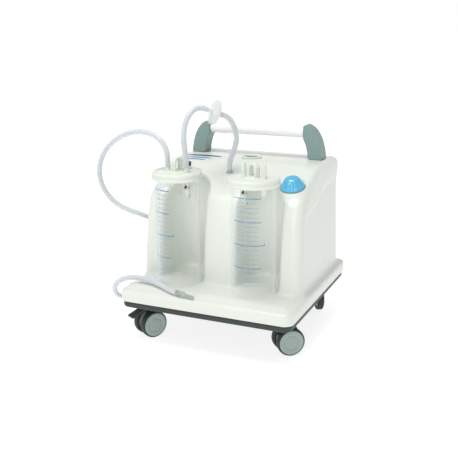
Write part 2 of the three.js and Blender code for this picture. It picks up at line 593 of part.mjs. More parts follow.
for (const [corner, degrees] of Object.entries(REST_TURN)) {
  const caster = new THREE.Group();
  const y = corner.startsWith('front') ? CASTER.frontY : CASTER.rearY;
  caster.position.set(corner.endsWith('left') ? -CASTER.x : CASTER.x, y, 0);
  caster.rotation.z = THREE.MathUtils.degToRad(degrees);
  add(`caster_fork_${corner}`, casterFork(), 'dark', caster);
  add(`wheel_${corner}_a`, wheelSolid(-1), 'wheel', caster);
  add(`wheel_${corner}_b`, wheelSolid(1), 'wheel', caster);
  if (BRAKED.includes(corner)) add(`brake_pedal_${corner}`, pedalSolid(), 'dark', caster);
  group.add(caster);
}

export default group;
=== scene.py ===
"""Looks of the mobile suction pump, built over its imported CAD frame. Metres, +Z up."""
import math

import bmesh
import bpy
import numpy as np
from mathutils import Matrix, Vector
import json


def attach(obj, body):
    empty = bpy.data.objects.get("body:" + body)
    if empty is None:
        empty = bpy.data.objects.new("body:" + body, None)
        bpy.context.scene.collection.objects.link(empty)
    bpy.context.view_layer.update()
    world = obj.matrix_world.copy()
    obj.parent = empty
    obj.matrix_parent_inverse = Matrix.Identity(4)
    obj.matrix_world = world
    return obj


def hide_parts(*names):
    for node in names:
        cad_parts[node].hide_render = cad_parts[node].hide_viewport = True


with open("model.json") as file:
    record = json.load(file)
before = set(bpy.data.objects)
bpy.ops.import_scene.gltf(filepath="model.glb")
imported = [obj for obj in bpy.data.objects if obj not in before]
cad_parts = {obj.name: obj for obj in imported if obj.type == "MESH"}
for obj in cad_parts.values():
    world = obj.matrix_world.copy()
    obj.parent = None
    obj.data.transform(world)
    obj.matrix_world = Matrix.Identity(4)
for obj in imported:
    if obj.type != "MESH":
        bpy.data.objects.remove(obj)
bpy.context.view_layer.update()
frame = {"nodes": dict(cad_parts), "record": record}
NODES = frame["nodes"]
MM = 0.001


# ---- camera ----

def make_camera(place, turn, pitch, roll, lens):
    """A camera at a place in metres, turned left from +Y, pitched down and rolled, in degrees."""
    turn, pitch, roll = (math.radians(v) for v in (turn, pitch, roll))
    ahead = Vector((-math.sin(turn) * math.cos(pitch), math.cos(turn) * math.cos(pitch), -math.sin(pitch)))
    side = Vector((math.cos(turn), math.sin(turn), 0))
    above = side.cross(ahead)
    right = math.cos(roll) * side + math.sin(roll) * above
    up = math.cos(roll) * above - math.sin(roll) * side
    data = bpy.data.cameras.new("camera")
    data.lens = lens
    data.sensor_width = 36
    camera = bpy.data.objects.new("camera", data)
    bpy.context.scene.collection.objects.link(camera)
    camera.matrix_world = Matrix.Translation(place) @ Matrix((right, up, -ahead)).transposed().to_4x4()
    bpy.context.scene.camera = camera


make_camera((0.7634, -1.7817, 0.8155), 23.92, 15.77, -0.40, 59.15)


# ---- materials ----

def linear(color):
    """A 0-255 screen colour as the linear colour that shaders take."""
    return tuple((c / 255 / 12.92) if c <= 10 else ((c / 255 + 0.055) / 1.055) ** 2.4 for c in color) + (1,)


def surface(name, color, rough, tint=0.04, patch=6, grain=900, bump=0.02, **inputs):
    """A procedural surface: slow colour drift, finer roughness drift and a fine bump."""
    made = bpy.data.materials.new(name)
    made.use_nodes = True
    nodes, links = made.node_tree.nodes, made.node_tree.links
    shader = nodes["Principled BSDF"]
    where = nodes.new("ShaderNodeTexCoord")

    def noise(scale, detail):
        node = nodes.new("ShaderNodeTexNoise")
        node.inputs["Scale"].default_value = scale
        node.inputs["Detail"].default_value = detail
        links.new(where.outputs["Object"], node.inputs["Vector"])
        return node.outputs["Fac"]

    shade = nodes.new("ShaderNodeValToRGB")
    base = linear(color)
    shade.color_ramp.elements[0].position = 0.3
    shade.color_ramp.elements[0].color = tuple(c * (1 - tint) for c in base[:3]) + (1,)
    shade.color_ramp.elements[1].position = 0.7
    shade.color_ramp.elements[1].color = tuple(min(c * (1 + tint), 1) for c in base[:3]) + (1,)
    links.new(noise(patch, 3), shade.inputs["Fac"])
    links.new(shade.outputs["Color"], shader.inputs["Base Color"])

    drift = nodes.new("ShaderNodeMapRange")
    drift.inputs["To Min"].default_value = max(rough * 0.82, 0.01)
    drift.inputs["To Max"].default_value = min(rough * 1.18, 1)
    links.new(noise(patch * 9, 4), drift.inputs["Value"])
    links.new(drift.outputs["Result"], shader.inputs["Roughness"])

    relief = nodes.new("ShaderNodeBump")
    relief.inputs["Strength"].default_value = bump
    relief.inputs["Distance"].default_value = 0.0005
    links.new(noise(grain, 2), relief.inputs["Height"])
    links.new(relief.outputs["Normal"], shader.inputs["Normal"])
    for key, value in inputs.items():
        shader.inputs[key.replace("_", " ")].default_value = value
    return made


def see_through(name, color, rough, low, high, power=2.0):
    """A clear plastic: thin face-on and denser at its edges, with a fine ripple."""
    made = surface(name, color, rough, tint=0.01, patch=3, grain=60, bump=0.0)
    nodes, links = made.node_tree.nodes, made.node_tree.links
    shader = nodes["Principled BSDF"]
    facing = nodes.new("ShaderNodeLayerWeight")
    facing.inputs["Blend"].default_value = 0.5
    curve = nodes.new("ShaderNodeMath")
    curve.operation = "POWER"
    curve.inputs[1].default_value = power
    links.new(facing.outputs["Facing"], curve.inputs[0])
    spread = nodes.new("ShaderNodeMapRange")
    spread.inputs["To Min"].default_value = low
    spread.inputs["To Max"].default_value = high
    links.new(curve.outputs[0], spread.inputs["Value"])
    links.new(spread.outputs["Result"], shader.inputs["Alpha"])
    return made


LOOK = {
    "housing": surface("moulded_white", (222, 226, 219), 0.3, tint=0.01, bump=0.015, Coat_Weight=0.2,
                       Coat_Roughness=0.12),
    "dark": surface("base_plastic", (44, 54, 50), 0.5, tint=0.1, bump=0.15),
    "tyre": surface("tyre_rubber", (40, 48, 46), 0.6, tint=0.12, bump=0.2),
    "arm": surface("arm_plastic", (126, 150, 146), 0.42, tint=0.03, bump=0.12),
    "fitting": surface("fitting_plastic", (164, 178, 171), 0.35, tint=0.03, bump=0.05),
    "bar": surface("bar_plastic", (236, 237, 238), 0.22, tint=0.01, bump=0.01),
    "knob": surface("knob_blue", (84, 176, 214), 0.12, tint=0.06, bump=0.01, Coat_Weight=0.5),
    "lid": surface("lid_plastic", (222, 227, 217), 0.3, tint=0.015, bump=0.02),
    "seal_brown": surface("float_seal", (52, 26, 20), 0.4, tint=0.15, bump=0.05),
    "clear": see_through("clear_plastic", (244, 249, 247), 0.06, 0.02, 0.5, 3.0),
    "frosted": see_through("frosted_plastic", (236, 239, 236), 0.25, 0.45, 0.9),
    "frosted_dark": see_through("connector_plastic", (182, 193, 187), 0.2, 0.55, 0.95),
    "hose": see_through("silicone", (222, 227, 231), 0.22, 0.6, 1.0, 1.2),
    "rubber": surface("black_rubber", (28, 30, 30), 0.65, tint=0.15, bump=0.2),
    "wheel": surface("wheel_plastic", (150, 166, 162), 0.38, tint=0.03, bump=0.08),
    "steel": surface("steel", (180, 182, 184), 0.3, Metallic=0.95),
    "dial": surface("dial_paint", (240, 240, 236), 0.5, bump=0.02),
    "ink": surface("printed_slate", (60, 80, 112), 0.4, tint=0.06, bump=0.02),
    "print": surface("printed_blue", (58, 126, 186), 0.4, tint=0.06, bump=0.02),
    "fine_print": surface("printed_pale", (112, 160, 196), 0.4, tint=0.06, bump=0.02),
    "motor": surface("motor_paint", (95, 100, 104), 0.45, Metallic=0.4),
    "board": surface("circuit_board", (40, 100, 110), 0.4),
}


# ---- building blocks ----

def link(name, mesh, look, body, replaces=(), angle=35):
    """An object in the scene with its look, riding on a body."""
    obj = bpy.data.objects.new(name, mesh)
    bpy.context.scene.collection.objects.link(obj)
    mesh.materials.append(LOOK[look])
    mesh.shade_smooth()
    mesh.set_sharp_from_angle(angle=math.radians(angle))
    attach(obj, body)
    if replaces:
        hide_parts(*replaces)
    return obj


def smooth_path(points, spacing):
    """Points along a centripetal Catmull-Rom curve, evenly spaced, all in metres."""
    knots = [np.array(p, float) for p in points]
    knots = [2 * knots[0] - knots[1]] + knots + [2 * knots[-1] - knots[-2]]
    dense = []
    for p0, p1, p2, p3 in zip(knots, knots[1:], knots[2:], knots[3:]):
        d0, d1, d2 = (np.linalg.norm(b - a) ** 0.5 for a, b in ((p0, p1), (p1, p2), (p2, p3)))
        m1 = (p1 - p0) / d0 - (p2 - p0) / (d0 + d1) + (p2 - p1) / d1
        m2 = (p2 - p1) / d1 - (p3 - p1) / (d1 + d2) + (p3 - p2) / d2
        m1, m2 = m1 * d1, m2 * d1
        for t in np.linspace(0, 1, 24, endpoint=False):
            dense.append((2 * t**3 - 3 * t**2 + 1) * p1 + (t**3 - 2 * t**2 + t) * m1
                         + (3 * t**2 - 2 * t**3) * p2 + (t**3 - t**2) * m2)
    dense.append(knots[-2])
    dense = np.array(dense)
    along = np.concatenate([[0], np.cumsum(np.linalg.norm(np.diff(dense, axis=0), axis=1))])
    count = max(int(along[-1] / spacing), 2) + 1
    even = np.linspace(0, along[-1], count)
    return np.stack([np.interp(even, along, dense[:, k]) for k in range(3)], axis=1), along[-1]


def hollow_tube(name, path, outer, inner, look, body, replaces=(), sides=28):
    """A tube with a bore, its section carried along the path without twisting."""
    ahead = np.gradient(path, axis=0)
    ahead /= np.linalg.norm(ahead, axis=1)[:, None]
    side = np.cross(ahead[0], [0.3, 0.9, 0.1])
    side /= np.linalg.norm(side)
    rings = []
    for place, forward in zip(path, ahead):
        side = side - forward * (side @ forward)
        side /= np.linalg.norm(side)
        up = np.cross(forward, side)
        rings.append((place, side.copy(), up))
    turn = np.linspace(0, 2 * math.pi, sides, endpoint=False)
    verts, faces = [], []
    for radius in (outer, inner):
        for place, side, up in rings:
            verts.extend(place + radius * (np.cos(turn)[:, None] * side + np.sin(turn)[:, None] * up))
    count = len(path)
    for shell in (0, 1):
        for ring in range(count - 1):
            for k in range(sides):
                a = (shell * count + ring) * sides + k
                b = (shell * count + ring) * sides + (k + 1) % sides
                quad = (a, a + sides, b + sides, b)
                faces.append(quad if shell else quad[::-1])
    for end in (0, count - 1):
        for k in range(sides):
            a, b = end * sides + k, end * sides + (k + 1) % sides
            quad = (a, a + count * sides, b + count * sides, b)
            faces.append(quad if end else quad[::-1])
    mesh = bpy.data.meshes.new(name)
    mesh.from_pydata([tuple(v) for v in verts], [], faces)
    return link(name, mesh, look, body, replaces)


# ---- hoses ----

PORT_TOP = 0.4553
PATIENT_PORT = (-0.1294, -0.145, PORT_TOP)
VACUUM_PORT = (-0.0774, -0.145, PORT_TOP)
PATIENT_ROUTE = [PATIENT_PORT] + [(x * MM, y * MM, z * MM) for x, y, z in (
    (-129.4, -145, 474), (-133, -144, 495), (-143, -142, 512), (-162, -138, 526), (-191, -132, 534),
    (-228, -125, 534), (-268, -119, 523), (-306, -112, 503), (-340, -105, 472), (-360, -100, 436),
    (-365, -96, 398), (-354, -91, 362), (-331, -84, 332), (-298, -75, 312), (-268, -61, 299),
    (-249, -38, 284), (-241, -8, 263), (-243, 18, 232), (-252, 32, 192), (-263, 28, 151),
    (-274, 6, 113), (-284, -28, 88), (-291, -68, 75), (-296, -106, 74), (-297.5, -132, 81),
    (-296, -148, 92), (-292, -162, 105), (-286, -173, 118.5), (-276.5, -181.5, 132.5),
    (-262, -187, 145.8), (-243.5, -190, 156.5), (-220, -190.5, 163.3), (-187, -190.5, 165),
    (-156, -196, 163.5), (-125, -206, 160.5), (-98, -216, 156.5), (-72, -224, 154.3))]
HOSE_OUT, HOSE_IN = 0.007, 0.0042

path, length = smooth_path(PATIENT_ROUTE, 0.005)
patient_hose = hollow_tube("patient_hose_silicone", path, HOSE_OUT, HOSE_IN, "hose", "lid_1",
                           ["patient_hose"])

FILTER_AT = Vector((-0.035, -0.065, 0.585))
FILTER_AXIS = Vector((0.64, 0.7, -0.36)).normalized()
BARB_END = 0.020


def filter_end(reach):
    return tuple(FILTER_AT + FILTER_AXIS * reach)


LINKS = {
    "jar_side": [VACUUM_PORT, (-0.0774, -0.145, 0.470), (-0.082, -0.1465, 0.532), (-0.0802, -0.136, 0.568),
                 (-0.0735, -0.117, 0.5905), (-0.0653, -0.101, 0.5975), filter_end(-BARB_END - 0.014),
                 filter_end(-BARB_END)],
    "inlet_side": [filter_end(BARB_END), filter_end(BARB_END + 0.012), (-0.0052, -0.0305, 0.560),
                   (0.0017, -0.0135, 0.5125), (-0.0125, -0.0221, 0.4565), (-0.014, -0.023, 0.446),
                   (-0.014, -0.023, 0.4323)],
}
for side, route in LINKS.items():
    path, length = smooth_path(route, 0.004)
    piece = hollow_tube(f"link_hose_{side}_silicone", path, HOSE_OUT, HOSE_IN, "hose", "lid_1",
                        [f"link_hose_{side}"])


# ---- housing: one moulding from a distance field ----

STEP = 3.0 * MM
WALL = 6.5 * MM  # thicker than the diagonal of a grid cell, so that no cell meets both skins
TRAY_HALF = (235 * MM, 238 * MM)
TRAY_LOW, TRAY_RIM, TRAY_FLOOR, TRAY_CORNER = 113 * MM, 144 * MM, 152 * MM, 26 * MM
BODY_REAR, DECK = 216 * MM, 446 * MM
ALCOVE_X, ALCOVE_Y, ALCOVE_R, ALCOVE_SPRING = 103.4 * MM, -76 * MM, 66 * MM, 349 * MM
FRONT_LINE = [(-143, 50), (-137, 120), (-127, 250), (-115, 335), (-104, 366), (-92, 379), (-78, 388.5),
              (-42, 411.5), (-2, 430), (28, 440), (52, 444.6), (78, 446), (110, 446)]
HALF_WIDTH = [(90, 224), (120, 223), (250, 219), (335, 216), (366, 215), (388, 214), (412, 212.5),
              (430, 211.5), (470, 209)]
CREASE = [(-114, 80), (-112, 147), (-86, 331), (-79, 340), (-32, 348), (17, 361), (62, 382), (110, 392),
          (260, 402), (260, 80)]
KNOB_AT, KNOB_TILT, KNOB_FLANGE = Vector((170 * MM, -54 * MM, 408.5 * MM)), math.radians(17), 31 * MM
INLET, INLET_SEAT = (-14, -23), 424.7 * MM
INLET_AT = (INLET[0] * MM, INLET[1] * MM)
GAUGE = (0, 97)
GAUGE_AT = (0, GAUGE[1] * MM)
GAUGE_HOLE, KNOB_HOLE, INLET_HOLE = 25.2 * MM, 9.6 * MM, 5.2 * MM
GRID_LOW, GRID_SHAPE = np.array((-0.2415, -0.2445, 0.1055)), (162, 164, 116)
WINDOW_HALF_X, WINDOW_HALF_Z, WINDOW_Z, WINDOW_FRONT = 0.136, 0.101, 0.280, 0.196
ALCOVE_ARCH_EDGE, ALCOVE_RIM = 26 * MM, 17 * MM
CREASE_DEPTH, CREASE_SOFT, CREASE_SOFTER = 3.8 * MM, 10 * MM, 25 * MM


def outline_distance(points, u, v):
    """Signed distance from grid points (u, v) to a closed outline, negative inside."""
    points = np.array(points, float)
    near = np.full(u.shape, 1e9)
    inside = np.zeros(u.shape, bool)
    for (au, av), (bu, bv) in zip(points, np.roll(points, -1, axis=0)):
        du, dv = bu - au, bv - av
        t = np.clip(((u - au) * du + (v - av) * dv) / (du * du + dv * dv), 0, 1)
        near = np.minimum(near, np.hypot(u - au - t * du, v - av - t * dv))
        crosses = (av > v) != (bv > v)
        with np.errstate(divide="ignore", invalid="ignore"):
            inside ^= crosses & (u < au + (v - av) * du / (dv if dv else 1e-12))
    return np.where(inside, -near, near)


def join(a, b, radius):
    """Smooth union with a fillet of about this radius."""
    h = np.maximum(radius - np.abs(a - b), 0) / radius
    return np.minimum(a, b) - h * h * radius * 0.25


def cut(a, b, radius):
    """a without b, the rim rounded to about this radius."""
    return round_meet(a, -b, radius)


def round_meet(a, b, radius):
    """Both a and b, with the edge between them rounded to this radius."""
    outside = np.hypot(np.maximum(a + radius, 0), np.maximum(b + radius, 0))
    return np.minimum(np.maximum(a + radius, b + radius), 0) + outside - radius


def smooth_step(t):
    t = np.clip(t, 0, 1)
    return t * t * (3 - 2 * t)


def front_path():
    """The housing's front line as a smooth curve, (y, z, 0) in metres."""
    return smooth_path([(v * MM, w * MM, 0) for v, w in FRONT_LINE], 0.004)[0]


def around_knob(x, y, z):
    """Distance of grid points from the regulator's axis, and their height along it."""
    axis = Vector((0, -math.sin(KNOB_TILT), math.cos(KNOB_TILT)))
    rx, ry, rz = x - KNOB_AT.x, y - KNOB_AT.y, z - KNOB_AT.z
    height = ry * axis.y + rz * axis.z
    return np.sqrt(np.maximum(rx**2 + ry**2 + rz**2 - height**2, 0)), height


def housing_field(x, y, z):
    """Outer skin of the housing as a signed distance, in metres, open-ended below."""
    side = np.abs(x)
    # body
    front = front_path()[:, :2]
    arc = [(BODY_REAR - 20 * MM + 20 * MM * math.sin(a), DECK - 20 * MM + 20 * MM * math.cos(a))
           for a in np.linspace(0, math.pi / 2, 9)]
    profile = [tuple(p) for p in front] + arc + [(BODY_REAR, 0.05)]
    profile_away = outline_distance(profile, y[0], z[0])[None]
    width = np.interp(z, [h * MM for h, _ in HALF_WIDTH], [w * MM for _, w in HALF_WIDTH])
    crease = outline_distance([(v * MM, w * MM) for v, w in CREASE], y[0], z[0])[None]
    softness = CREASE_SOFT + CREASE_SOFTER * smooth_step((y - 0.03) / 0.1)
    width = width - CREASE_DEPTH * smooth_step(0.5 - crease / softness)
    corner = np.interp(z, [0.36, 0.425], [28 * MM, 17 * MM])
    body = round_meet(profile_away, side - width, corner)
    # alcoves
    dx = side - ALCOVE_X
    column = np.hypot(dx, np.maximum(y - ALCOVE_Y, 0)) - ALCOVE_R
    arch = np.hypot(dx, np.maximum(z - ALCOVE_SPRING, 0)) - ALCOVE_R
    body = cut(body, round_meet(column, arch, ALCOVE_ARCH_EDGE), ALCOVE_RIM)
    # boss under the regulator and seat of the vacuum inlet
    away, height = around_knob(x, y, z)
    boss = round_meet(away - KNOB_FLANGE - 2.5 * MM, height + 0.6 * MM, 1.5 * MM)
    body = join(body, np.maximum(boss, -height - 26 * MM), 16 * MM)
    body = cut(body, np.maximum(away - KNOB_FLANGE - 5 * MM, -height - 0.5 * MM), 2.0 * MM)
    inlet = np.hypot(x - INLET_AT[0], y - INLET_AT[1])
    body = join(body, np.maximum(inlet - 12.5 * MM, z - INLET_SEAT + 0.3 * MM), 5 * MM)
    body = cut(body, np.maximum(inlet - 13 * MM, INLET_SEAT - 0.3 * MM - z), 1.0 * MM)
    # tray
    px, py = side - TRAY_HALF[0] + TRAY_CORNER, np.abs(y) - TRAY_HALF[1] + TRAY_CORNER
    plan = np.minimum(np.maximum(px, py), 0) + np.hypot(np.maximum(px, 0), np.maximum(py, 0)) - TRAY_CORNER
    crown = TRAY_RIM + (TRAY_FLOOR - TRAY_RIM) * smooth_step((-plan - 5 * MM) / (33 * MM))
    tray = round_meet(plan, z - crown, 9 * MM)
    return join(body, tray, 15 * MM)


def surface_net(field, origin, step):
    """Quads through the zero level of a sampled field, with points moved onto the level."""
    corners = [(i, j, k) for i in (0, 1) for j in (0, 1) for k in (0, 1)]
    inside = field < 0
    nx, ny, nz = (n - 1 for n in field.shape)
    count = sum(inside[i:i + nx, j:j + ny, k:k + nz].astype(np.int8) for i, j, k in corners)
    active = (count > 0) & (count < 8)
    cells = np.argwhere(active)
    index = np.full(active.shape, -1, np.int32)
    index[active] = np.arange(len(cells))
    total, hits = np.zeros((len(cells), 3)), np.zeros(len(cells))
    for a in corners:
        for axis in range(3):
            if a[axis]:
                continue
            b = tuple(c + (k == axis) for k, c in enumerate(a))
            fa = field[tuple((cells + a).T)]
            fb = field[tuple((cells + b).T)]
            crosses = (fa < 0) != (fb < 0)
            t = fa[crosses] / (fa[crosses] - fb[crosses])
            total[crosses] += np.array(a) + t[:, None] * (np.array(b) - np.array(a))
            hits[crosses] += 1
    places = cells + total / hits[:, None]
    for _ in range(2):
        places = pull_to_level(field, places)
    quads = []
    for axis, (u, v) in ((0, (1, 2)), (1, (2, 0)), (2, (0, 1))):
        low = [slice(None)] * 3
        high = [slice(None)] * 3
        low[axis], high[axis] = slice(None, -1), slice(1, None)
        change = inside[tuple(low)] != inside[tuple(high)]
        grid = np.argwhere(change)
        leaving = inside[tuple(low)][change]
        eu, ev = np.eye(3, dtype=int)[u], np.eye(3, dtype=int)[v]
        ring = [index[tuple((grid - s * eu - t * ev).T)] for s, t in ((1, 1), (0, 1), (0, 0), (1, 0))]
        ring = np.stack(ring, axis=1)
        quads.append(np.where(leaving[:, None], ring, ring[:, ::-1]))
    return np.array(origin) + places * step, np.concatenate(quads)


def pull_to_level(field, places):
    """One Newton step towards the zero level, using values between the samples."""
    base = np.clip(np.floor(places).astype(int), 0, np.array(field.shape) - 2)
    t = np.clip(places - base, 0, 1)
    value, slope = 0, np.zeros_like(places)
    for i in (0, 1):
        for j in (0, 1):
            for k in (0, 1):
                f = field[base[:, 0] + i, base[:, 1] + j, base[:, 2] + k]
                w = [t[:, n] if o else 1 - t[:, n] for n, o in enumerate((i, j, k))]
                value = value + f * w[0] * w[1] * w[2]
                for n, o in enumerate((i, j, k)):
                    rest = w[(n + 1) % 3] * w[(n + 2) % 3]
                    slope[:, n] += f * rest * (1 if o else -1)
    size = np.maximum((slope**2).sum(axis=1), 1e-12)
    shift = -(value / size)[:, None] * slope
    return places + np.clip(shift, -0.5, 0.5)


def quad_mesh(name, places, quads):
    mesh = bpy.data.meshes.new(name)
    mesh.vertices.add(len(places))
    mesh.vertices.foreach_set("co", np.ascontiguousarray(places, np.float32).ravel())
    mesh.loops.add(quads.size)
    mesh.loops.foreach_set("vertex_index", np.ascontiguousarray(quads, np.int32).ravel())
    mesh.polygons.add(len(quads))
    mesh.polygons.foreach_set("loop_start", np.arange(0, quads.size, 4, dtype=np.int32))
    mesh.update(calc_edges=True)
    mesh.validate()
    return mesh


def make_housing():
    """The housing's skin, hollowed, with its holes and the window behind the rear panel."""
    x, y, z = np.meshgrid(*(GRID_LOW[k] + STEP * np.arange(GRID_SHAPE[k]) for k in range(3)), indexing="ij")
    outer = housing_field(x, y, z)
    field = np.maximum(outer, -(outer + WALL))
    field = np.maximum(field, TRAY_LOW - z)
    gauge = np.hypot(x - GAUGE_AT[0], y - GAUGE_AT[1]) - GAUGE_HOLE
    field = np.maximum(field, -np.maximum(gauge, 0.42 - z))
    away, height = around_knob(x, y, z)
    field = np.maximum(field, -np.maximum(away - KNOB_HOLE, -height - 0.04))
    inlet = np.hypot(x - INLET_AT[0], y - INLET_AT[1]) - INLET_HOLE
    field = np.maximum(field, -np.maximum(inlet, 0.40 - z))
    across = np.maximum(np.abs(x) - WINDOW_HALF_X, np.abs(z - WINDOW_Z) - WINDOW_HALF_Z)
    window = np.maximum(across, WINDOW_FRONT - y)
    field = np.maximum(field, -window)
    places, quads = surface_net(field, GRID_LOW, STEP)
    return link("housing_moulding", quad_mesh("housing_moulding", places, quads), "housing", "base",
                ["housing_shell"], angle=60)


make_housing()


# ---- solids for the detailed pieces, in millimetres until they are made ----

def soft(points, radius, steps=4, closed=False):
    """The outline with its corners rounded; points on the axis and free ends stay."""
    points = [np.array(p, float) for p in points]
    out = []
    for k, p in enumerate(points):
        if not closed and k in (0, len(points) - 1):
            out.append(p)
            continue
        before, after = points[k - 1], points[(k + 1) % len(points)]
        a, b = before - p, after - p
        la, lb = np.linalg.norm(a), np.linalg.norm(b)
        reach = min(radius, 0.45 * la, 0.45 * lb)
        start, end = p + a / la * reach, p + b / lb * reach
        for t in np.linspace(0, 1, steps + 1):
            out.append((1 - t) ** 2 * start + 2 * t * (1 - t) * p + t * t * end)
    return out


def turned(profile, sides=64, start=0, sweep=360, flutes=0, depth=0):
    """A solid of revolution about Z from (radius, height) pairs, closed on itself or on the axis."""
    whole = sweep == 360
    columns = sides if whole else sides + 1
    angles = np.radians(start + sweep * np.arange(columns) / sides)
    profile = np.array(profile, float)
    closed = profile[0][0] > 1e-6 or profile[-1][0] > 1e-6
    n = len(profile)
    verts, faces = [], []
    for angle in angles:
        swell = 1 + depth * (math.cos(flutes * angle) - 1) / 2 * profile[:, 0].clip(0) / profile[:, 0].max()
        verts.append(np.stack([profile[:, 0] * swell * math.cos(angle),
                               profile[:, 0] * swell * math.sin(angle), profile[:, 1]], axis=1))
    for column in range(columns if whole else columns - 1):
        a, b = column * n, (column + 1) % columns * n
        for k in range(n if closed else n - 1):
            m = (k + 1) % n
            faces.append((a + k, b + k, b + m, a + m))
    if not whole:
        faces.append(tuple(range(n)))
        faces.append(tuple(reversed(range((columns - 1) * n, columns * n))))
    return np.concatenate(verts), faces


def prism(outline, low, high):
    """An outline of (x, z) pairs pushed from one y to another."""
    n = len(outline)
    verts = [(x, y, z) for y in (low, high) for x, z in outline]
    faces = [tuple(range(n)), tuple(reversed(range(n, 2 * n)))]
    faces += [(k, k + n, (k + 1) % n + n, (k + 1) % n) for k in range(n)]
    return np.array(verts, float), faces


def block(x0, x1, y0, y1, z0, z1):
    return prism([(x0, z0), (x1, z0), (x1, z1), (x0, z1)], y0, y1)


def skin(rings):
    """A closed skin through rings that have the same number of points."""
    n = len(rings[0])
    faces = [tuple(reversed(range(n))), tuple(range((len(rings) - 1) * n, len(rings) * n))]
    for r in range(len(rings) - 1):
        faces += [(r * n + k, r * n + (k + 1) % n, (r + 1) * n + (k + 1) % n,
                   (r + 1) * n + k) for k in range(n)]
    return np.concatenate(rings), faces


def plan_ring(half_x, half_y, radius, z, steps=10):
    """A rounded rectangle seen from above."""
    ring = []
    for quarter, (sx, sy) in enumerate(((1, 1), (-1, 1), (-1, -1), (1, -1))):
        for a in np.linspace(0, math.pi / 2, steps + 1) + quarter * math.pi / 2:
            ring.append((sx * (half_x - radius) + radius * math.cos(a),
                         sy * (half_y - radius) + radius * math.sin(a), z))
    return np.array(ring)


def bar_along(path, across, width, thick, steps=3):
    """A bar of rounded section along a flat path; across is the direction its width takes."""
    path, across = np.array(path, float), np.array(across, float)
    half_width, half_thick = width / 2, thick / 2
    corners = [(-half_width, -half_thick), (half_width, -half_thick), (half_width, half_thick),
               (-half_width, half_thick)]
    section = soft(corners, min(width, thick) * 0.35, steps, closed=True)
    ahead = np.gradient(path, axis=0)
    ahead /= np.linalg.norm(ahead, axis=1)[:, None]
    rings = [np.array([p + across * u + np.cross(across, t) * v for u, v in section])
             for p, t in zip(path, ahead)]
    return skin(rings)


def at(shape, x=0, y=0, z=0, turn=None):
    """The shape turned by a matrix, then moved."""
    verts = shape[0] @ np.array(turn.to_3x3()).T if turn is not None else shape[0]
    return verts + np.array((x, y, z)), shape[1]


def along(direction):
    """The turn that takes +Z to a direction."""
    return Vector((0, 0, 1)).rotation_difference(Vector(direction)).to_matrix()


def make(name, shapes, look, body, replaces=(), angle=35, bevel=0):
    """Joins shapes in millimetres into one piece in metres."""
    mesh = bpy.data.meshes.new(name)
    verts, faces, base = [], [], 0
    for v, f in shapes:
        verts.append(v)
        faces += [tuple(k + base for k in face) for face in f]
        base += len(v)
    mesh.from_pydata([tuple(p) for p in np.concatenate(verts) * MM], [], faces)
    work = bmesh.new()
    work.from_mesh(mesh)
    bmesh.ops.remove_doubles(work, verts=work.verts, dist=2e-6)
    bmesh.ops.dissolve_degenerate(work, edges=work.edges, dist=1e-7)
    bmesh.ops.recalc_face_normals(work, faces=work.faces)
    work.to_mesh(mesh)
    work.free()
    piece = link(name, mesh, look, body, replaces, angle)
    if bevel:
        soften(piece, bevel)
    return piece


def soften(obj, width, segments=3):
    """Rounds an object's sharp edges by a width in millimetres."""
    rounding = obj.modifiers.new("edges", "BEVEL")
    rounding.width = width * MM
    rounding.segments = segments
    rounding.limit_method = "ANGLE"
    rounding.angle_limit = math.radians(32)
    rounding.harden_normals = True


# ---- jars with their scales ----

JAR_Y, JAR_LOW, JAR_R = -145, 152.3, 55.5
JAR_AT = {1: -103.4, 2: 103.4}
JAR_PROFILE = [(0, 9.5), (42.5, 9.5), (45.5, 0), (50.5, 0), (54.5, 5), (55.5, 14), (55.5, 268), (58, 272.5),
               (58, 284), (54.5, 284), (54, 276), (52.7, 268), (52.7, 14), (50, 6.5), (47.5, 4.5),
               (44.5, 13.5), (0, 13.5)]
SCALE_ZERO, STEP_100 = 175.5, 11.46
SCALE_TURN = {1: -28, 2: 7}
LONG_LINE, SHORT_LINE, FINE_LINE = 1.9, 0.7, 0.35


def mark(turn0, turn1, z, height):
    """A printed line round the jar between two bearings, 0 facing the front."""
    steps = max(int(abs(turn1 - turn0) / 3), 2)
    ring = [(JAR_R - 0.05, z - height / 2), (JAR_R + 0.14, z - height / 2),
            (JAR_R + 0.14, z + height / 2), (JAR_R - 0.05, z + height / 2)]
    return turned(ring, steps, turn0 - 90, turn1 - turn0)


def flat_text(text, size, thick):
    """Centred text in its own plane, as points and faces."""
    curve = bpy.data.curves.new("numeral", "FONT")
    curve.body, curve.size, curve.align_x, curve.align_y = text, size, "CENTER", "CENTER"
    curve.extrude, curve.resolution_u = thick, 2
    holder = bpy.data.objects.new("numeral", curve)
    flat = holder.to_mesh()
    verts = np.array([v.co for v in flat.vertices]).reshape(-1, 3)
    faces = [tuple(p.vertices) for p in flat.polygons]
    holder.to_mesh_clear()
    bpy.data.objects.remove(holder)
    return verts, faces


def numeral(text, size, turn, z):
    """A number printed round the jar."""
    verts, faces = flat_text(text, size, 0.08)
    bearing = math.radians(turn) + verts[:, 0] / JAR_R
    radius = JAR_R + 0.06 + verts[:, 2]
    return np.stack([radius * np.sin(bearing), -radius * np.cos(bearing), z + verts[:, 1]], axis=1), faces


